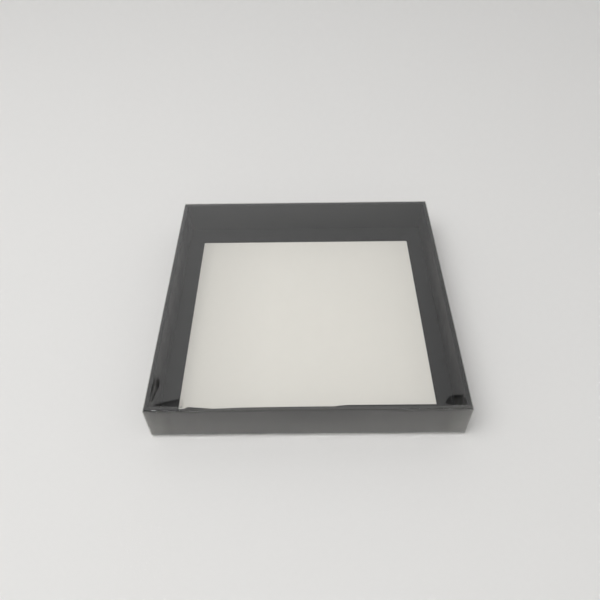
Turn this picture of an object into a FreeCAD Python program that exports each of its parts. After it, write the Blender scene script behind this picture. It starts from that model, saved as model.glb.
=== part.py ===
import FreeCAD, Part
import math
import os

import Sketcher

# A shallow square display box. A chipboard tray is covered in black paper, lined with cream card
# and closed by a lid that is folded from one clear sheet.
# +X is the viewer's right, +Y the back, +Z up. The origin is the middle of the underside.

DRIVING_SIZES = {
    "tray_width": 152.4,
    "tray_height": 22.0,
    "board": 1.5,
    "paper": 0.2,
    "corner_tape": 0.15,
    "tape_leg": 12,
    "tape_height": 18,
    "lid_sheet": 0.25,
    "lid_fold_radius": 0.6,
    "lid_side_gap": 0.2,
    "lid_top_gap": 0.1,
    "lid_foot_gap": 0.8,
    "lid_tab_length": 12,
    "lid_tab_taper": 1.5,
    "side_border": 9.25,
    "end_border": 12.95,
    "under_turn": 14,
    "base_paper_margin": 4,
    "base_paper_corner": 3,
    "paper_fold_radius": 0.18,
}

doc = FreeCAD.newDocument("display_box")
sheet = doc.addObject("Spreadsheet::Sheet", "Sizes")
for row, (alias, number) in enumerate(DRIVING_SIZES.items(), start=1):
    sheet.set(f"A{row}", alias)
    sheet.set(f"B{row}", str(number))
    sheet.setAlias(f"B{row}", alias)
doc.recompute()


class Size:
    """A length that knows both its number and the sheet expression that gives it."""

    def __init__(self, number, words):
        self.number = number
        self.words = words

    def __add__(self, other):
        return Size(self.number + other.number, f"({self.words} + {other.words})")

    def __sub__(self, other):
        return Size(self.number - other.number, f"({self.words} - {other.words})")

    def __mul__(self, factor):
        return Size(self.number * factor, f"({self.words} * {factor})")

    def __neg__(self):
        return Size(-self.number, f"(0 - {self.words})")


def size(alias):
    return Size(DRIVING_SIZES[alias], f"{sheet.Name}.{alias}")


ZERO = Size(0, "0")
board = size("board")
paper = size("paper")
lid_sheet = size("lid_sheet")

# Plan sizes, measured outwards from the middle. The tray is square, and the tabs glued inside the
# lid's front and back make the lid a little longer than it is wide.
tray_half = size("tray_width") * 0.5
lid_half_x = tray_half + size("lid_side_gap") + lid_sheet
lid_half_y = lid_half_x + lid_sheet
lid_fold_reach = size("lid_fold_radius") + lid_sheet
skin = paper + size("corner_tape")
board_half = tray_half - skin
floor_half = board_half - board
wall = skin + board + paper

# Heights, measured up from the surface that the box stands on.
under_turn_top = paper * 2
floor_board_top = under_turn_top + board
floor_card_top = floor_board_top + paper
floor_border_top = floor_card_top + paper
rim_top = size("tray_height")
wall_board_top = rim_top - paper
window_base = rim_top + size("lid_top_gap")
lid_top = window_base + lid_sheet


def bind(thing, name, value):
    thing.setExpression(name, value.words)


def place(thing, across, back, up, turn=0.0):
    """Puts a sub-part in the box, turned about the upright axis."""
    spin = FreeCAD.Rotation(FreeCAD.Vector(0, 0, 1), turn)
    base = FreeCAD.Vector(across.number, back.number, up.number)
    thing.Placement = FreeCAD.Placement(base, spin)
    for axis, value in (("x", across), ("y", back), ("z", up)):
        bind(thing, f"Placement.Base.{axis}", value)


def new_body(label):
    body = doc.addObject("PartDesign::Body", label)
    body.Label = label
    return body


def origin_plane(body, role):
    return next(f for f in body.Origin.OriginFeatures if f.Role == role)


def outline(body, name, role, loops):
    """A sketch of closed straight-sided loops, with every corner tied to the sheet."""
    sketch = body.newObject("Sketcher::SketchObject", name)
    sketch.AttachmentSupport = (origin_plane(body, role), [""])
    sketch.MapMode = "FlatFace"
    for corners in loops:
        first = sketch.GeometryCount
        points = [FreeCAD.Vector(a.number, b.number, 0) for a, b in corners]
        count = len(points)
        for k in range(count):
            line = Part.LineSegment(points[k], points[(k + 1) % count])
            sketch.addGeometry(line, False)
        for k in range(count):
            following = first + (k + 1) % count
            join = Sketcher.Constraint("Coincident", first + k, 2, following, 1)
            sketch.addConstraint(join)
        for k, corner in enumerate(corners):
            for kind, value in zip(("DistanceX", "DistanceY"), corner):
                tie = Sketcher.Constraint(kind, -1, 1, first + k, 1, value.number)
                index = sketch.addConstraint(tie)
                bind(sketch, f"Constraints[{index}]", value)
    doc.recompute()
    return sketch


def pad(body, sketch, length, symmetric=False):
    feature = body.newObject("PartDesign::Pad", "Pad")
    feature.Profile = sketch
    feature.SideType = "Symmetric" if symmetric else "One side"
    bind(feature, "Length", length)
    body.Tip = feature
    doc.recompute()
    return feature


def cut_through(body, sketch):
    """Cuts both ways through the solid, and checks that something was cut."""
    before = body.Shape.Volume
    feature = body.newObject("PartDesign::Pocket", "Pocket")
    feature.Profile = sketch
    feature.SideType = "Two sides"
    feature.Type = "ThroughAll"
    feature.Type2 = "ThroughAll"
    body.Tip = feature
    doc.recompute()
    assert body.Shape.Volume < before, body.Label
    return feature


def round_edges(body, feature, wanted, radius):
    """Rounds the edges that wanted picks by their middle point and direction."""
    names = []
    for number, edge in enumerate(feature.Shape.Edges, start=1):
        start, end = (v.Point for v in edge.Vertexes)
        if wanted(start.add(end).multiply(0.5), end.sub(start)):
            names.append(f"Edge{number}")
    rounding = body.newObject("PartDesign::Fillet", "Fillet")
    rounding.Base = (feature, names)
    bind(rounding, "Radius", radius)
    body.Tip = rounding
    doc.recompute()
    return rounding


def mitre_ends(body, half, reach, depth, own_border, next_border):
    """Cuts both ends of a strip so that it meets its neighbours at the corners of the box.

    The cut runs at 45 degrees through the wall, then towards the corner that the two borders make
    on the floor."""
    over = board * 2
    inner_across = half - depth
    inner_along = depth - reach
    far_across = inner_across - next_border * 2
    far_along = inner_along + own_border * 2
    loops = []
    for side in (1, -1):
        loops.append(
            [
                ((half + over) * side, -reach - over),
                (inner_across * side, inner_along),
                (far_across * side, far_along),
                ((half + over) * side, far_along),
            ]
        )
    return cut_through(body, outline(body, "EndCuts", "XY_Plane", loops))


def sized_box(label, across, along, height):
    block = doc.addObject("Part::Box", label)
    block.Label = label
    for name, value in zip(("Length", "Width", "Height"), (across, along, height)):
        bind(block, name, value)
    return block


# For each side: its turn, the widths of its own floor border and its neighbours' borders, and how
# far the lid reaches towards that side and along it
SIDES = {
    "front": (0.0, size("end_border"), size("side_border"), lid_half_y, lid_half_x),
    "right": (90.0, size("side_border"), size("end_border"), lid_half_x, lid_half_y),
    "back": (180.0, size("end_border"), size("side_border"), lid_half_y, lid_half_x),
    "left": (270.0, size("side_border"), size("end_border"), lid_half_x, lid_half_y),
}


# Chipboard: a floor board with four wall boards standing round it
def floor_board():
    block = sized_box("floor_board", floor_half * 2, floor_half * 2, board)
    place(block, -floor_half, -floor_half, under_turn_top)
    return block


def wall_board(side):
    height = wall_board_top - under_turn_top
    if side in ("front", "back"):
        block = sized_box(f"{side}_wall_board", board_half * 2, board, height)
        along = -board_half if side == "front" else floor_half
        place(block, -board_half, along, under_turn_top)
    else:
        block = sized_box(f"{side}_wall_board", board, floor_half * 2, height)
        across = -board_half if side == "left" else floor_half
        place(block, across, -floor_half, under_turn_top)
    return block


# Gummed paper tape folded round each outside corner of the boards
def corner_stay(name, turn, across, along):
    body = new_body(f"{name}_corner_tape")
    leg = size("tape_leg")
    tape = size("corner_tape")
    corners = [
        (-tape, -tape),
        (leg, -tape),
        (leg, ZERO),
        (ZERO, ZERO),
        (ZERO, leg),
        (-tape, leg),
    ]
    pad(body, outline(body, "Plan", "XY_Plane", [corners]), size("tape_height"))
    place(body, across, along, under_turn_top + board, turn)
    return body


# Black paper: one strip for each wall, turned under the box, carried up the outside and over the
# rim, down the inside and out onto the floor as a border
def wrap_strip(side):
    turn, own_border, next_border = SIDES[side][:3]
    body = new_body(f"{side}_wrap")
    under_end = size("under_turn") - tray_half
    outer = -tray_half
    inner = wall - tray_half
    border_end = inner + own_border
    corners = [
        (under_end, paper),
        (outer, paper),
        (outer, rim_top),
        (inner, rim_top),
        (inner, floor_border_top),
        (border_end, floor_border_top),
        (border_end, floor_card_top),
        (inner - paper, floor_card_top),
        (inner - paper, wall_board_top),
        (outer + paper, wall_board_top),
        (outer + paper, under_turn_top),
        (under_end, under_turn_top),
    ]
    strip = pad(body, outline(body, "Section", "YZ_Plane", [corners]), tray_half * 2, True)
    folds = [
        (outer, paper),
        (outer, rim_top),
        (inner, rim_top),
    ]
    near = paper.number * 0.5

    def is_fold(middle, along):
        if abs(along.x) < tray_half.number:
            return False
        return any(math.dist((middle.y, middle.z), (a.number, b.number)) < near for a, b in folds)

    round_edges(body, strip, is_fold, size("paper_fold_radius"))
    mitre_ends(body, tray_half, tray_half, wall, own_border, next_border)
    place(body, ZERO, ZERO, ZERO, turn)
    return body


# Cream card that lines the floor, under the turned-in border
def floor_card():
    block = sized_box("floor_card", floor_half * 2, floor_half * 2, paper)
    place(block, -floor_half, -floor_half, floor_board_top)
    return block


# Sheet that covers the turned-under edges below the tray, with its corners clipped
def base_paper():
    body = new_body("base_paper")
    half = tray_half - size("base_paper_margin")
    clip = size("base_paper_corner")
    corners = [
        (clip - half, -half),
        (half - clip, -half),
        (half, clip - half),
        (half, half - clip),
        (half - clip, half),
        (clip - half, half),
        (-half, half - clip),
        (-half, clip - half),
    ]
    pad(body, outline(body, "Plan", "XY_Plane", [corners]), paper)
    place(body, ZERO, ZERO, ZERO)
    return body


# Clear lid: a flat window panel, four skirts that roll over from it, and four glued corner tabs
def lid_window():
    flat_x = lid_half_x - lid_fold_reach
    flat_y = lid_half_y - lid_fold_reach
    block = sized_box("lid_window_panel", flat_x * 2, flat_y * 2, lid_sheet)
    place(block, -flat_x, -flat_y, window_base)
    return block


def lid_skirt(side):
    turn = SIDES[side][0]
    reach, half = SIDES[side][3:]
    body = new_body(f"lid_{side}_panel")
    fold = size("lid_fold_radius")
    foot = size("lid_foot_gap")
    outer = -reach
    inner = lid_sheet - reach
    corners = [
        (outer, foot),
        (inner, foot),
        (inner, window_base),
        (lid_fold_reach - reach, window_base),
        (lid_fold_reach - reach, lid_top),
        (outer, lid_top),
    ]
    panel = pad(body, outline(body, "Section", "YZ_Plane", [corners]), half * 2, True)
    near = lid_sheet.number * 0.5

    def is_at(across, up):
        def test(middle, along):
            long_edge = abs(along.x) > half.number
            return long_edge and math.dist((middle.y, middle.z), (across.number, up.number)) < near

        return test

    rolled = round_edges(body, panel, is_at(outer, lid_top), fold)
    round_edges(body, rolled, is_at(inner, window_base), fold - lid_sheet)
    mitre_ends(body, half, reach, lid_sheet, lid_fold_reach, lid_fold_reach)
    place(body, ZERO, ZERO, ZERO, turn)
    return body


def lid_tab(side, hand):
    """A glue tab inside the front or back skirt, on the left (-1) or right (1) of that skirt."""
    turn = SIDES[side][0]
    real_hand = hand if side == "front" else -hand
    body = new_body(f"lid_{side}_{'right' if real_hand > 0 else 'left'}_tab")
    root = (lid_half_x - lid_sheet) * hand
    tip = (lid_half_x - lid_sheet - size("lid_tab_length")) * hand
    foot = size("lid_foot_gap")
    top = lid_top - size("lid_fold_radius")
    taper = size("lid_tab_taper")
    corners = [(root, foot), (tip, foot + taper), (tip, top - taper), (root, top)]
    pad(body, outline(body, "Face", "XZ_Plane", [corners]), lid_sheet)
    inside = lid_half_y - lid_sheet * 2
    place(body, ZERO, -inside if side == "front" else inside, ZERO, turn)
    return body


corner_places = {
    "front_left": (0.0, -board_half, -board_half),
    "front_right": (90.0, board_half, -board_half),
    "back_right": (180.0, board_half, board_half),
    "back_left": (270.0, -board_half, board_half),
}

sub_parts = [floor_board(), floor_card(), base_paper(), lid_window()]
for side_name in SIDES:
    sub_parts.append(wall_board(side_name))
    sub_parts.append(wrap_strip(side_name))
    sub_parts.append(lid_skirt(side_name))
for corner_name, (corner_turn, corner_x, corner_y) in corner_places.items():
    sub_parts.append(corner_stay(corner_name, corner_turn, corner_x, corner_y))
for side_name in ("front", "back"):
    for hand_sign in (-1, 1):
        sub_parts.append(lid_tab(side_name, hand_sign))
doc.recompute()

for item in doc.Objects:
    assert not {"Invalid", "Error"} & set(item.State), (item.Name, item.State)
os.makedirs("parts", exist_ok=True)
for sub_part in sub_parts:
    shape = sub_part.Shape
    assert not shape.isNull() and shape.isValid(), sub_part.Label
    assert len(shape.Solids) == 1, (sub_part.Label, len(shape.Solids))
    box = shape.BoundBox
    low = [round(v, 2) for v in (box.XMin, box.YMin, box.ZMin)]
    high = [round(v, 2) for v in (box.XMax, box.YMax, box.ZMax)]
    print(sub_part.Label, low, high, round(shape.Volume, 1))
    shape.exportStep(os.path.join("parts", sub_part.Label + ".step"))
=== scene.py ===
import math

import bmesh
import bpy
from bpy.props import FloatProperty, FloatVectorProperty, PointerProperty
from mathutils import Matrix, Vector, noise


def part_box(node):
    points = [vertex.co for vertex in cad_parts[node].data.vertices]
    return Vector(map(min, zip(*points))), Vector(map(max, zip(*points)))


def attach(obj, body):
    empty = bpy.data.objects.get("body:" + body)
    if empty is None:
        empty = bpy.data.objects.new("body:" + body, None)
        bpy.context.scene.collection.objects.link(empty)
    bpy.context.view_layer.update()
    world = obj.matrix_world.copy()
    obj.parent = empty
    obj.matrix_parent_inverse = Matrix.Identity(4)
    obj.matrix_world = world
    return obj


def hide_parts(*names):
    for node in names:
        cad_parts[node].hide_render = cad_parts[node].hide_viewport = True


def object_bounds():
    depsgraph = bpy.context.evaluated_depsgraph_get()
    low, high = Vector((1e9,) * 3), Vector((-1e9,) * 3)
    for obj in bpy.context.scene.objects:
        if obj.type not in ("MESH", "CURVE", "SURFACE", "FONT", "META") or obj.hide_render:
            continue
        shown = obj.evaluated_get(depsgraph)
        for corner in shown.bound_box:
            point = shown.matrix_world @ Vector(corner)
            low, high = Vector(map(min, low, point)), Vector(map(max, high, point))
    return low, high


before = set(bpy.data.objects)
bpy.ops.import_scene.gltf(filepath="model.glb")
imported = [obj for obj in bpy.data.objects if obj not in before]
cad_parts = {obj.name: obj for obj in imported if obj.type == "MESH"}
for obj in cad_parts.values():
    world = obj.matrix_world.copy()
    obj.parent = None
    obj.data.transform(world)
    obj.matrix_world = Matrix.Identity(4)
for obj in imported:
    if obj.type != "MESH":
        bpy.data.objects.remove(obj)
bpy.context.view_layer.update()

bl_info = {
    "name": "Clear-lidded display box",
    "version": (1, 0, 0),
    "blender": (4, 5, 0),
    "location": "3D View > Sidebar > Display Box",
    "description": "Dresses a paper-covered tray and its clear lid, and sets up a studio for them",
    "category": "Object",
}

MM = 0.001
PET_INDEX = 1.5
LID_NODES = [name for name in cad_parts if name.startswith("lid_") and name.endswith("_panel")]
TAB_NODES = [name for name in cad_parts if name.startswith("lid_") and name.endswith("_tab")]
WRAP_NODES = [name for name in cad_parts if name.endswith("_wrap")]
BOARD_NODES = [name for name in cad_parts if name.endswith("_board")]
TAPE_NODES = [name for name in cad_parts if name.endswith("_tape")]

BOX_LOW, BOX_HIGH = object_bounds()
WINDOW_LOW, WINDOW_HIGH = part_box("lid_window_panel")
SKIRT_LOW, SKIRT_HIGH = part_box("lid_front_panel")
SHEET = WINDOW_HIGH.z - WINDOW_LOW.z


def linear(hex_colour):
    """An sRGB hex colour as linear RGB."""
    digits = hex_colour.lstrip("#")
    parts = [int(digits[k : k + 2], 16) / 255 for k in (0, 2, 4)]
    return tuple(p / 12.92 if p <= 0.04045 else ((p + 0.055) / 1.055) ** 2.4 for p in parts)


def colour_property(name, description, hex_colour):
    return FloatVectorProperty(
        name=name,
        description=description,
        subtype="COLOR",
        size=3,
        min=0.0,
        max=1.0,
        default=linear(hex_colour),
    )


class DisplayBoxSizes(bpy.types.PropertyGroup):
    fold_radius: FloatProperty(
        name="Lid fold radius",
        description="Outer radius where the clear sheet rolls over from window to skirt",
        default=0.6 * MM,
        unit="LENGTH",
    )
    front_bow: FloatProperty(
        name="Front wall bow",
        description="How far the front wall's top leans in at its middle",
        default=0.3 * MM,
        unit="LENGTH",
    )
    rim_dip: FloatProperty(
        name="Rim dip",
        description="How far the front rim dips near its left end",
        default=0.9 * MM,
        unit="LENGTH",
    )
    rim_press: FloatProperty(
        name="Rim press",
        description="How much thinner the front wall is pressed along its top",
        default=0.4 * MM,
        unit="LENGTH",
    )
    border_trim: FloatProperty(
        name="Border trim",
        description="How much narrower the front border on the floor is cut, left of the middle",
        default=2.6 * MM,
        unit="LENGTH",
    )
    dent_slope: FloatProperty(
        name="Corner dent slope",
        description="How steeply the clear sheet is pressed in beside the front corners",
        default=math.radians(22),
        subtype="ANGLE",
    )
    fold_ripple: FloatProperty(
        name="Fold ripple",
        description="How far the clear sheet's front fold is crumpled near its ends",
        default=0.35 * MM,
        unit="LENGTH",
    )
    window_sag: FloatProperty(
        name="Window sag",
        description="How far the middle of the clear window hangs below its edges",
        default=0.25 * MM,
        unit="LENGTH",
    )


class DisplayBoxColours(bpy.types.PropertyGroup):
    cover_paper: colour_property("Cover paper", "Black coated paper round the tray", "#18181a")
    # painted light: a paler grey that stands in for bounce light and sheen on the black paper
    painted_light_paper: colour_property("Paper under painted light", "The same paper made pale by painted bounce light and sheen", "#555453")
    floor_card: colour_property("Floor card", "Cream card on the tray's floor", "#f9f6f1")
    chipboard: colour_property("Chipboard", "Grey board inside the walls", "#8a7f6e")
    kraft_tape: colour_property("Kraft tape", "Gummed tape at the corners", "#9c6f43")
    table: colour_property("Table", "The pale surface under the box", "#e2e1df")


def sizes():
    return bpy.context.scene.display_box_sizes


def colours():
    return bpy.context.scene.display_box_colours


# Materials
def new_material(name):
    made = bpy.data.materials.new(name)
    made.use_nodes = True
    made.node_tree.nodes.clear()
    return made


def add(tree, kind, links=(), values=(), **settings):
    """Adds a node with its settings, its sockets' own values and the links into its sockets."""
    node = tree.nodes.new(kind)
    for name, value in settings.items():
        setattr(node, name, value)
    for socket, value in dict(values).items():
        node.inputs[socket].default_value = value
    for socket, source in dict(links).items():
        tree.links.new(source, node.inputs[socket])
    return node


def object_position(tree):
    return add(tree, "ShaderNodeTexCoord").outputs["Object"]


def per_metre(size_mm):
    """A texture scale that gives features of this size."""
    return 1000.0 / size_mm


def ramp(tree, source, low, high, to_low, to_high):
    return add(
        tree,
        "ShaderNodeMapRange",
        {"Value": source},
        {"From Min": low, "From Max": high, "To Min": to_low, "To Max": to_high},
    ).outputs["Result"]


def grain(tree, size_mm, detail=3.0, roughness=0.55):
    return add(
        tree,
        "ShaderNodeTexNoise",
        {"Vector": object_position(tree)},
        {"Scale": per_metre(size_mm), "Detail": detail, "Roughness": roughness},
    ).outputs["Fac"]


def shaded(tree, colour, source, darkest, lightest):
    """A colour made darker and lighter by a pattern."""
    low = tuple(c * darkest for c in colour) + (1,)
    high = tuple(min(c * lightest, 1) for c in colour) + (1,)
    mixed = add(
        tree,
        "ShaderNodeMix",
        data_type="RGBA",
    )
    tree.links.new(source, mixed.inputs[0])
    mixed.inputs[6].default_value = low
    mixed.inputs[7].default_value = high
    return mixed.outputs[2]


def finish_surface(tree, shader):
    add(tree, "ShaderNodeOutputMaterial", {"Surface": shader})


def mixed_colour(tree, share, first, second):
    mixed = add(tree, "ShaderNodeMix", {0: share, 6: first}, {7: second}, data_type="RGBA")
    return mixed.outputs[2]


def times(tree, first, second):
    return add(tree, "ShaderNodeMath", {0: first, 1: second}, operation="MULTIPLY").outputs[0]


def painted_light_share(tree):
    """How much painted light makes the paper paler: painted bounce light outside the walls, most at
    foot and corners, and a painted sheen on the front rim.
    """
    place = add(tree, "ShaderNodeSeparateXYZ", {0: object_position(tree)})
    distances = []
    for axis in ("X", "Y"):
        distance = add(tree, "ShaderNodeMath", {0: place.outputs[axis]}, operation="ABSOLUTE")
        distances.append(distance.outputs[0])
    furthest = add(
        tree, "ShaderNodeMath", {0: distances[0], 1: distances[1]}, operation="MAXIMUM"
    ).outputs[0]
    nearest = add(
        tree, "ShaderNodeMath", {0: distances[0], 1: distances[1]}, operation="MINIMUM"
    ).outputs[0]
    outside = ramp(tree, furthest, 75.9 * MM, 76.1 * MM, 0.0, 1.0)
    # painted bounce light: the outer walls are paler toward their foot and toward the corners
    at_foot = ramp(tree, place.outputs["Z"], 0.0, 22 * MM, 1.0, 0.35)
    at_corner = ramp(tree, nearest, 50 * MM, 76 * MM, 0.6, 1.0)
    walls = times(tree, times(tree, outside, at_foot), at_corner)
    # painted sheen: the front rim is made paler, except near its left end
    front = ramp(tree, place.outputs["Y"], -74.2 * MM, -74.6 * MM, 0.0, 1.0)
    top = ramp(tree, place.outputs["Z"], 20.8 * MM, 21.2 * MM, 0.0, 0.6)
    past_left = ramp(tree, place.outputs["X"], -60 * MM, -57 * MM, 0.0, 1.0)
    rim = times(tree, times(tree, front, top), past_left)
    return add(tree, "ShaderNodeMath", {0: walls, 1: rim}, operation="MAXIMUM").outputs[0]


def coated_black_paper():
    """Coated cover paper, calendered smooth: deep black with a satin sheen and faint fibres."""
    made = new_material("coated black cover paper")
    tree = made.node_tree
    mottle = grain(tree, 6.0)
    fibre = grain(tree, 0.35, 4.0)
    clean = shaded(tree, tuple(colours().cover_paper), mottle, 0.8, 1.25)
    # the paper's colour is mixed toward the paler grey where bounce light and sheen are painted
    tint = mixed_colour(tree, painted_light_share(tree), clean, tuple(colours().painted_light_paper) + (1,))
    bump = add(
        tree,
        "ShaderNodeBump",
        {"Height": fibre},
        {"Strength": 0.12, "Distance": 0.03 * MM},
    )
    surface = add(
        tree,
        "ShaderNodeBsdfPrincipled",
        {
            "Base Color": tint,
            "Roughness": ramp(tree, mottle, 0.3, 0.7, 0.42, 0.55),
            "Normal": bump.outputs["Normal"],
        },
        {"IOR": 1.45, "Specular IOR Level": 0.3},
    )
    finish_surface(tree, surface.outputs[0])
    return made


def cream_card():
    """Uncoated card, rough pressed: matt cream with a soft mottle of pulp and fine tooth."""
    made = new_material("uncoated cream card")
    tree = made.node_tree
    mottle = grain(tree, 9.0)
    tooth = grain(tree, 0.5, 5.0, 0.7)
    blank = shaded(tree, tuple(colours().floor_card), mottle, 0.97, 1.02)
    across = add(tree, "ShaderNodeSeparateXYZ", {0: object_position(tree)}).outputs["X"]
    # painted shade: the card is darkened toward its left edge, where the left wall's shadow falls
    painted_shade_left = ramp(tree, across, -66 * MM, -20 * MM, 1.0, 0.0)
    tint = mixed_colour(tree, painted_shade_left, blank, tuple(0.9 * c for c in colours().floor_card) + (1,))
    bump = add(
        tree,
        "ShaderNodeBump",
        {"Height": tooth},
        {"Strength": 0.25, "Distance": 0.06 * MM},
    )
    surface = add(
        tree,
        "ShaderNodeBsdfPrincipled",
        {
            "Base Color": tint,
            "Roughness": ramp(tree, tooth, 0.3, 0.7, 0.75, 0.9),
            "Normal": bump.outputs["Normal"],
        },
        {"IOR": 1.45},
    )
    finish_surface(tree, surface.outputs[0])
    return made


def pressed_board(name, colour, flake_mm):
    """Recycled board or gummed kraft paper: matt, with short darker and lighter fibres."""
    made = new_material(name)
    tree = made.node_tree
    flakes = grain(tree, flake_mm, 5.0, 0.75)
    tint = shaded(tree, tuple(colour), flakes, 0.7, 1.25)
    bump = add(
        tree,
        "ShaderNodeBump",
        {"Height": flakes},
        {"Strength": 0.3, "Distance": 0.08 * MM},
    )
    surface = add(
        tree,
        "ShaderNodeBsdfPrincipled",
        {
            "Base Color": tint,
            "Roughness": ramp(tree, flakes, 0.3, 0.7, 0.8, 0.95),
            "Normal": bump.outputs["Normal"],
        },
        {"IOR": 1.45},
    )
    finish_surface(tree, surface.outputs[0])
    return made


def clear_pet_sheet():
    """Extruded clear PET, cut and folded: colourless, glossy, its skirt a little hazed, the haze
    growing toward the foot as painted bounce light.
    """
    made = new_material("clear folded PET sheet")
    tree = made.node_tree
    marks = grain(tree, 12.0, 2.0)
    ripple = add(
        tree,
        "ShaderNodeBump",
        {"Height": marks},
        {"Strength": 0.3, "Distance": 0.05 * MM},
    )
    clear = add(
        tree, "ShaderNodeBsdfTransparent", values={"Color": linear("#fbfbfa") + (1,)}
    )
    gloss = add(
        tree,
        "ShaderNodeBsdfGlossy",
        {"Roughness": ramp(tree, marks, 0.3, 0.7, 0.02, 0.09), "Normal": ripple.outputs[0]},
    )
    # Both faces of the thin sheet mirror alike, so the inner face's index is turned over
    inner_face = add(tree, "ShaderNodeNewGeometry").outputs["Backfacing"]
    index = ramp(tree, inner_face, 0.0, 1.0, PET_INDEX, 1 / PET_INDEX)
    mirror_share = add(tree, "ShaderNodeFresnel", {"IOR": index})
    mixed = add(
        tree,
        "ShaderNodeMixShader",
        {0: mirror_share.outputs[0], 1: clear.outputs[0], 2: gloss.outputs[0]},
    )
    height = add(tree, "ShaderNodeSeparateXYZ", {0: object_position(tree)}).outputs["Z"]
    # partly real haze, partly painted bounce light: the white haze is stronger toward the skirt's foot
    haze_and_painted_bounce = ramp(tree, height, 2 * MM, 21 * MM, 0.04, 0.01)
    on_skirt = ramp(tree, height, 21.5 * MM, 21.8 * MM, 1.0, 0.0)
    scuffs = ramp(tree, grain(tree, 2.5, 4.0), 0.3, 0.7, 0.6, 1.4)
    haze = add(tree, "ShaderNodeBsdfDiffuse", values={"Color": linear("#e8e8e6") + (1,)})
    scuffed = add(
        tree,
        "ShaderNodeMixShader",
        {
            0: times(tree, times(tree, haze_and_painted_bounce, on_skirt), scuffs),
            1: mixed.outputs[0],
            2: haze.outputs[0],
        },
    )
    finish_surface(tree, scuffed.outputs[0])
    return made


def glued_tab_sheet():
    """The same PET glued flat under the skirt: the glue wets it, so its shine fades inward."""
    made = new_material("clear PET tab glued with clear adhesive")
    tree = made.node_tree
    place = add(tree, "ShaderNodeSeparateXYZ", {0: object_position(tree)})
    distance = add(tree, "ShaderNodeMath", {0: place.outputs["X"]}, operation="ABSOLUTE")
    blotch = grain(tree, 5.0, 2.0)
    dry = ramp(tree, distance.outputs[0], 65 * MM, 76 * MM, 0.0, 0.1)
    share = times(tree, dry, ramp(tree, blotch, 0.3, 0.7, 0.8, 1.2))
    clear = add(
        tree, "ShaderNodeBsdfTransparent", values={"Color": linear("#fdfdfc") + (1,)}
    )
    gloss = add(tree, "ShaderNodeBsdfGlossy", values={"Roughness": 0.12})
    mixed = add(
        tree, "ShaderNodeMixShader", {0: share, 1: clear.outputs[0], 2: gloss.outputs[0]}
    )
    finish_surface(tree, mixed.outputs[0])
    return made


def dress(node_names, made):
    for name in node_names:
        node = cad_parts[name]
        node.data.materials.clear()
        node.data.materials.append(made)


def link_piece(mesh_name, shape, made, smooth=True):
    mesh = bpy.data.meshes.new(mesh_name)
    shape.to_mesh(mesh)
    shape.free()
    mesh.materials.append(made)
    for polygon in mesh.polygons:
        polygon.use_smooth = smooth
    piece = bpy.data.objects.new(mesh_name, mesh)
    bpy.context.scene.collection.objects.link(piece)
    return piece


# Shared shape of the front wall and the lid's front skirt
BOW_MIDDLE = 5 * MM
BOW_HALF = 45 * MM
DIP_MIDDLE = -51 * MM
DIP_HALF = 23 * MM
DIP_FOOT = 14 * MM
BOW_ZONE = 66 * MM
BOW_FADE = 6 * MM
STRIP_SPACING = 4 * MM
RIM_INSIDE = 74.0 * MM
WALL_MIDDLE = 75.2 * MM
PRESS_FADE = 6 * MM
BORDER_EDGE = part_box("front_wrap")[1].y
TRIM_LEFT = (-66 * MM, -64.6 * MM)
TRIM_RIGHT = (4 * MM, 18 * MM)


def hump(value, middle, half):
    """1 at the middle, falling smoothly to 0 at either end."""
    u = (value - middle) / half
    return (1 - u * u) ** 2 if abs(u) < 1 else 0.0


def lean_in(point):
    """Moves a point of the front wall, or of the skirt before it, with the wall's inward bow."""
    level = max(0.0, point.z) / BOX_HIGH.z
    near_front = min(1.0, max(0.0, (-BOW_ZONE - point.y) / BOW_FADE))
    point.y += sizes().front_bow * hump(point.x, BOW_MIDDLE, BOW_HALF) * level * near_front


def shape_rim(point):
    """Lowers a point of the front wall where its board was cut low, and thins the wall's top."""
    if point.y > -BOW_ZONE:
        return
    level = max(0.0, point.z - DIP_FOOT) / (BOX_HIGH.z - DIP_FOOT)
    point.z -= sizes().rim_dip * hump(point.x, DIP_MIDDLE, DIP_HALF) * level
    between = min(1.0, max(0.0, (RIM_INSIDE - abs(point.x)) / PRESS_FADE))
    if point.y > -WALL_MIDDLE:
        point.y -= sizes().rim_press * between * level


def trim_border(point):
    """Draws the front border's cut edge back on the left, where it was cut askew."""
    if abs(point.y - BORDER_EDGE) > 0.2 * MM:
        return
    start, full = TRIM_LEFT
    fade, end = TRIM_RIGHT
    share = min(1.0, (point.x - start) / (full - start), (end - point.x) / (end - fade))
    point.y -= sizes().border_trim * max(0.0, share)


def refined_copy(node_name, spacing, made):
    """A piece in the place of a CAD node, cut finely enough along its length to bend."""
    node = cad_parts[node_name]
    shape = bmesh.new()
    shape.from_mesh(node.data)
    bmesh.ops.remove_doubles(shape, verts=shape.verts[:], dist=0.001 * MM)
    low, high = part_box(node_name)
    size = high - low
    axis = 0 if size.x > size.y else 1
    steps = int(size[axis] / spacing)
    normal = Vector((1, 0, 0)) if axis == 0 else Vector((0, 1, 0))
    for k in range(1, steps):
        centre = normal * (low[axis] + size[axis] * k / steps)
        geometry = shape.verts[:] + shape.edges[:] + shape.faces[:]
        bmesh.ops.bisect_plane(shape, geom=geometry, plane_co=centre, plane_no=normal)
    for vert in shape.verts:
        lean_in(vert.co)
        shape_rim(vert.co)
        trim_border(vert.co)
    piece = link_piece("shaped_" + node_name, shape, made, smooth=False)
    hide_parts(node_name)
    return piece


# Lid
DENT_WALL = 0.5 * MM


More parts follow.
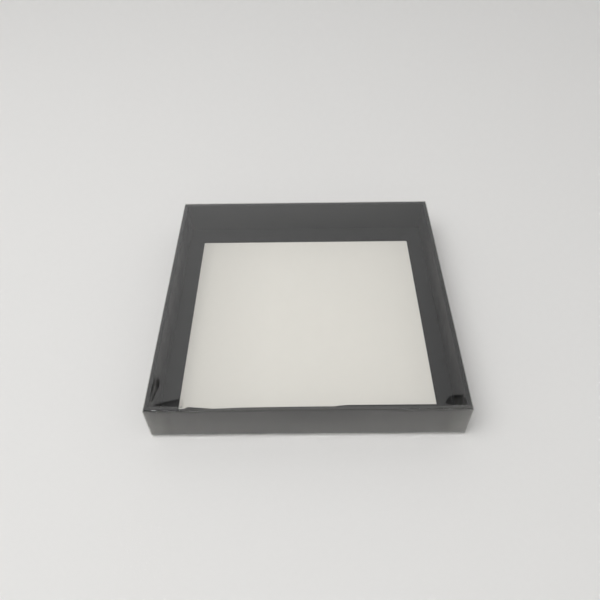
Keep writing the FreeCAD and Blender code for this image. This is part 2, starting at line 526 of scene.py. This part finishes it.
def pressed(along, inward, start, end, start_reach, end_reach, fades, steeper=1.0):
    """How far the sheet is pressed down beside a wall: a long slope towards it, then a short one up.

    The dent runs along the wall from start to end, and reaches inward from it.
    """
    t = (along - start) / (end - start)
    if not 0 < t < 1:
        return 0.0
    ends = min(1.0, t / fades[0], (1 - t) / fades[1])
    reach = (start_reach + (end_reach - start_reach) * t) * math.sqrt(ends)
    if not 0 < inward < reach:
        return 0.0
    slope = math.tan(sizes().dent_slope * steeper)
    return slope * (reach - inward) * min(1.0, inward / DENT_WALL) * ends


def window_drop(across, along):
    """How far the clear window hangs below flat at a place, in metres."""
    half = (BOX_HIGH.x - BOX_LOW.x) / 2
    inside = max(0.0, 1 - (across / half) ** 2) * max(0.0, 1 - (along / half) ** 2)
    from_front = along + RIM_INSIDE
    from_left = across + RIM_INSIDE
    return max(
        sizes().window_sag * inside,
        pressed(across, from_front, -73 * MM, -58 * MM, 0.8 * MM, 5 * MM, (0.1, 0.06)),
        pressed(across, from_front, 63.5 * MM, 74 * MM, 4.8 * MM, 5.4 * MM, (0.35, 0.1)),
        pressed(along, from_left, -73 * MM, -55 * MM, 0.8 * MM, 4.8 * MM, (0.1, 0.4), 1.2),
    )


def lid_shape():
    """The folded sheet's outer face: a block with no underside, its edges rolled over."""
    shape = bmesh.new()
    size = BOX_HIGH - BOX_LOW
    height = BOX_HIGH.z - SKIRT_LOW.z
    place = Matrix.Translation((0, 0, SKIRT_LOW.z + height / 2))
    scale = Matrix.Diagonal((size.x, size.y, height, 1))
    bmesh.ops.create_cube(shape, size=1.0, matrix=place @ scale)
    foot = [f for f in shape.faces if f.normal.z < -0.5]
    bmesh.ops.delete(shape, geom=foot, context="FACES_ONLY")
    folds = [e for e in shape.edges if max(v.co.z for v in e.verts) > BOX_HIGH.z - SHEET]
    bmesh.ops.bevel(
        shape,
        geom=folds,
        offset=sizes().fold_radius,
        offset_type="OFFSET",
        affect="EDGES",
        segments=5,
        profile=0.5,
        material=-1,
        clamp_overlap=True,
    )
    return shape


def refine_window(shape):
    """Cuts the sheet into an even grid across and into levels down its skirts."""
    spacing = 1.6 * MM
    for axis in (0, 1):
        normal = Vector((1, 0, 0)) if axis == 0 else Vector((0, 1, 0))
        half = (BOX_HIGH[axis] - BOX_LOW[axis]) / 2 - sizes().fold_radius
        steps = int(half * 2 / spacing)
        for k in range(1, steps):
            centre = normal * (-half + 2 * half * k / steps)
            geometry = shape.verts[:] + shape.edges[:] + shape.faces[:]
            bmesh.ops.bisect_plane(shape, geom=geometry, plane_co=centre, plane_no=normal)
    depth = BOX_HIGH.z - SKIRT_LOW.z - 1 * MM
    levels = [SKIRT_LOW.z + depth * k / 10 for k in range(1, 9)]
    levels += [BOX_HIGH.z - down * MM for down in (2.2, 1.6, 1.0)]
    for level in levels:
        centre = Vector((0, 0, level))
        geometry = shape.verts[:] + shape.edges[:] + shape.faces[:]
        bmesh.ops.bisect_plane(shape, geom=geometry, plane_co=centre, plane_no=(0, 0, 1))


def refine_front(shape):
    """Cuts the strip beside the front fold four times finer, where the dents are."""
    strip_end = BOX_LOW.y + 24 * MM
    top = BOX_HIGH.z - 0.7 * MM
    for _ in range(2):
        edges = set()
        for face in shape.faces:
            centre = face.calc_center_median()
            if centre.z > top and centre.y < strip_end:
                edges.update(face.edges)
        bmesh.ops.subdivide_edges(shape, edges=list(edges), cuts=1, use_grid_fill=True)


RIPPLE_MM = 1.4
RIPPLE_LEFT = -50 * MM
RIPPLE_RIGHT = 40 * MM


def crumple_fold(point):
    """Pushes a point of the front fold in and down, by chance, near the fold's two ends."""
    if point.y > BOX_LOW.y + 1 * MM or point.z < BOX_HIGH.z - 1 * MM:
        return
    if RIPPLE_LEFT < point.x < RIPPLE_RIGHT:
        return
    chance = 0.5 + noise.noise(Vector((point.x * per_metre(RIPPLE_MM), 0.3, 0.7)))
    point.y += sizes().fold_ripple * chance
    point.z -= sizes().fold_ripple * chance


def press_window(shape):
    for vert in shape.verts:
        if vert.co.z > BOX_HIGH.z - SHEET / 2:
            vert.co.z -= window_drop(vert.co.x, vert.co.y)
        crumple_fold(vert.co)
        lean_in(vert.co)


class DISPLAYBOX_OT_lid(bpy.types.Operator):
    """Make the clear lid as one folded sheet, with its dents beside the front corners"""

    bl_idname = "displaybox.lid"
    bl_label = "Clear Lid"

    def execute(self, context):
        shape = lid_shape()
        refine_window(shape)
        refine_front(shape)
        press_window(shape)
        bmesh.ops.recalc_face_normals(shape, faces=shape.faces[:])
        made = clear_pet_sheet()
        lid = link_piece("clear_lid_sheet", shape, made)
        wall = lid.modifiers.new("sheet thickness", "SOLIDIFY")
        wall.thickness = SHEET
        wall.offset = -1.0
        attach(lid, "lid")
        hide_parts(*LID_NODES)
        dress(TAB_NODES, glued_tab_sheet())
        return {"FINISHED"}


class DISPLAYBOX_OT_tray(bpy.types.Operator):
    """Dress the tray: its boards, corner tapes, black cover paper and cream floor"""

    bl_idname = "displaybox.tray"
    bl_label = "Paper-Covered Tray"

    def execute(self, context):
        black = coated_black_paper()
        for name in WRAP_NODES:
            strip = refined_copy(name, STRIP_SPACING, black)
            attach(strip, "tray")
        dress(["base_paper"], black)
        dress(["floor_card"], cream_card())
        grey = pressed_board("recycled chipboard", colours().chipboard, 0.8)
        dress([name for name in BOARD_NODES if name != "front_wall_board"], grey)
        front = refined_copy("front_wall_board", STRIP_SPACING, grey)
        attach(front, "tray")
        dress(TAPE_NODES, pressed_board("gummed kraft tape", colours().kraft_tape, 0.5))
        return {"FINISHED"}


# Studio
CAMERA_PLACE = Vector((-0.79, -221.66, 256.65)) * MM
CAMERA_PITCH = 47.60
CAMERA_YAW = -0.70
CAMERA_ROLL = -1.09
FOCAL_PIXELS = 588.1
PICTURE_SIDE = 600
SENSOR = 36.0


def table_top():
    """A wide flat floor."""
    shape = bmesh.new()
    bmesh.ops.create_grid(shape, x_segments=2, y_segments=2, size=3.0)
    made = new_material("pale matt table")
    tree = made.node_tree
    surface = add(
        tree,
        "ShaderNodeBsdfPrincipled",
        values={"Base Color": tuple(colours().table) + (1,), "Roughness": 0.8},
    )
    finish_surface(tree, surface.outputs[0])
    link_piece("table_top", shape, made, smooth=False)


WINDOW_PANES = ((-0.4, -0.55, 0.73), (0.42, -0.55, 0.72))


def towards(tree, direction, aim):
    """How nearly a direction points at the aim, 1 when it does."""
    facing = add(tree, "ShaderNodeVectorMath", {0: direction}, operation="DOT_PRODUCT")
    facing.inputs[1].default_value = Vector(aim).normalized()
    return facing.outputs["Value"]


def room():
    """Even pale surroundings for light; for shine, dark overhead and at the sides, with two panes."""
    world = bpy.data.worlds.new("studio")
    world.use_nodes = True
    bpy.context.scene.world = world
    tree = world.node_tree
    tree.nodes.clear()
    direction = add(tree, "ShaderNodeTexCoord").outputs["Generated"]
    split = add(tree, "ShaderNodeSeparateXYZ", {0: direction})
    sideways = add(tree, "ShaderNodeMath", {0: split.outputs["X"]}, operation="ABSOLUTE").outputs[0]
    across = split.outputs["X"]
    paler_left = ramp(tree, across, -0.25, 0.25, 1.1, 0.78)
    overhead = ramp(tree, towards(tree, direction, (0, -0.17, 0.985)), 0.87, 0.94, 0.0, 1.0)
    ceiling = add(
        tree,
        "ShaderNodeMix",
        {0: overhead, 3: ramp(tree, across, -0.3, 0.3, 0.35, 0.05)},
        {2: 1.0},
        data_type="FLOAT",
    ).outputs[0]
    past_sides = ramp(tree, sideways, 0.4, 0.65, 1.0, 0.05)
    shine = times(tree, times(tree, paler_left, ceiling), past_sides)
    for aim in WINDOW_PANES:
        pane = ramp(tree, towards(tree, direction, aim), 0.98, 0.985, 0.0, 14.0)
        shine = add(tree, "ShaderNodeMath", {0: shine, 1: pane}, operation="ADD").outputs[0]
    rays = add(tree, "ShaderNodeLightPath")
    lit = add(
        tree,
        "ShaderNodeMix",
        {0: rays.outputs["Is Glossy Ray"], 3: shine},
        {2: 0.5},
        data_type="FLOAT",
    )
    strength = add(
        tree,
        "ShaderNodeMix",
        {0: rays.outputs["Is Camera Ray"], 2: lit.outputs[0]},
        {3: 1.0},
        data_type="FLOAT",
    )
    back = add(
        tree,
        "ShaderNodeBackground",
        {"Strength": strength.outputs[0]},
        {"Color": (1, 1, 1, 1)},
    )
    add(tree, "ShaderNodeOutputWorld", {"Surface": back.outputs[0]})


def soft_light(name, place, target, width, watts):
    data = bpy.data.lights.new(name, "AREA")
    data.shape = "DISK"
    data.size = width
    data.energy = watts
    lamp = bpy.data.objects.new(name, data)
    lamp.visible_glossy = False
    lamp.location = place
    lamp.rotation_euler = (Vector(target) - Vector(place)).to_track_quat("-Z", "Y").to_euler()
    bpy.context.scene.collection.objects.link(lamp)


def viewer():
    pitch, yaw, roll = (math.radians(a) for a in (CAMERA_PITCH, CAMERA_YAW, CAMERA_ROLL))
    forward = Vector(
        (math.sin(yaw) * math.cos(pitch), math.cos(yaw) * math.cos(pitch), -math.sin(pitch))
    )
    level = Vector((math.cos(yaw), -math.sin(yaw), 0))
    upright = level.cross(forward)
    across = level * math.cos(roll) + upright * math.sin(roll)
    above = upright * math.cos(roll) - level * math.sin(roll)
    data = bpy.data.cameras.new("viewer")
    data.sensor_width = SENSOR
    data.lens = FOCAL_PIXELS / PICTURE_SIDE * SENSOR
    camera = bpy.data.objects.new("viewer", data)
    turn = Matrix((across, above, -forward)).transposed()
    camera.matrix_world = Matrix.Translation(CAMERA_PLACE) @ turn.to_4x4()
    bpy.context.scene.collection.objects.link(camera)
    bpy.context.scene.camera = camera


class DISPLAYBOX_OT_stage(bpy.types.Operator):
    """Set up the pale table, the soft light, the surroundings and the camera"""

    bl_idname = "displaybox.stage"
    bl_label = "Studio"

    def execute(self, context):
        table_top()
        room()
        soft_light("soft window light", (-0.45, -0.3, 1.15), (0, 0, 0), 1.1, 9.6)
        viewer()
        context.scene.view_settings.view_transform = "Standard"
        return {"FINISHED"}


class DISPLAYBOX_PT_panel(bpy.types.Panel):
    """The display box's sizes, colours and steps"""

    bl_idname = "DISPLAYBOX_PT_panel"
    bl_label = "Display Box"
    bl_space_type = "VIEW_3D"
    bl_region_type = "UI"
    bl_category = "Display Box"

    def draw(self, context):
        for group in (context.scene.display_box_sizes, context.scene.display_box_colours):
            for name in group.__annotations__:
                self.layout.prop(group, name)
        for step in STEPS:
            self.layout.operator(step.bl_idname)


STEPS = (DISPLAYBOX_OT_tray, DISPLAYBOX_OT_lid, DISPLAYBOX_OT_stage)
CLASSES = (DisplayBoxSizes, DisplayBoxColours, *STEPS, DISPLAYBOX_PT_panel)


def register():
    for item in CLASSES:
        bpy.utils.register_class(item)
    bpy.types.Scene.display_box_sizes = PointerProperty(type=DisplayBoxSizes)
    bpy.types.Scene.display_box_colours = PointerProperty(type=DisplayBoxColours)


def unregister():
    del bpy.types.Scene.display_box_sizes
    del bpy.types.Scene.display_box_colours
    for item in reversed(CLASSES):
        bpy.utils.unregister_class(item)


def main():
    register()
    bpy.ops.displaybox.tray()
    bpy.ops.displaybox.lid()
    bpy.ops.displaybox.stage()


if __name__ == "__main__":
    main()
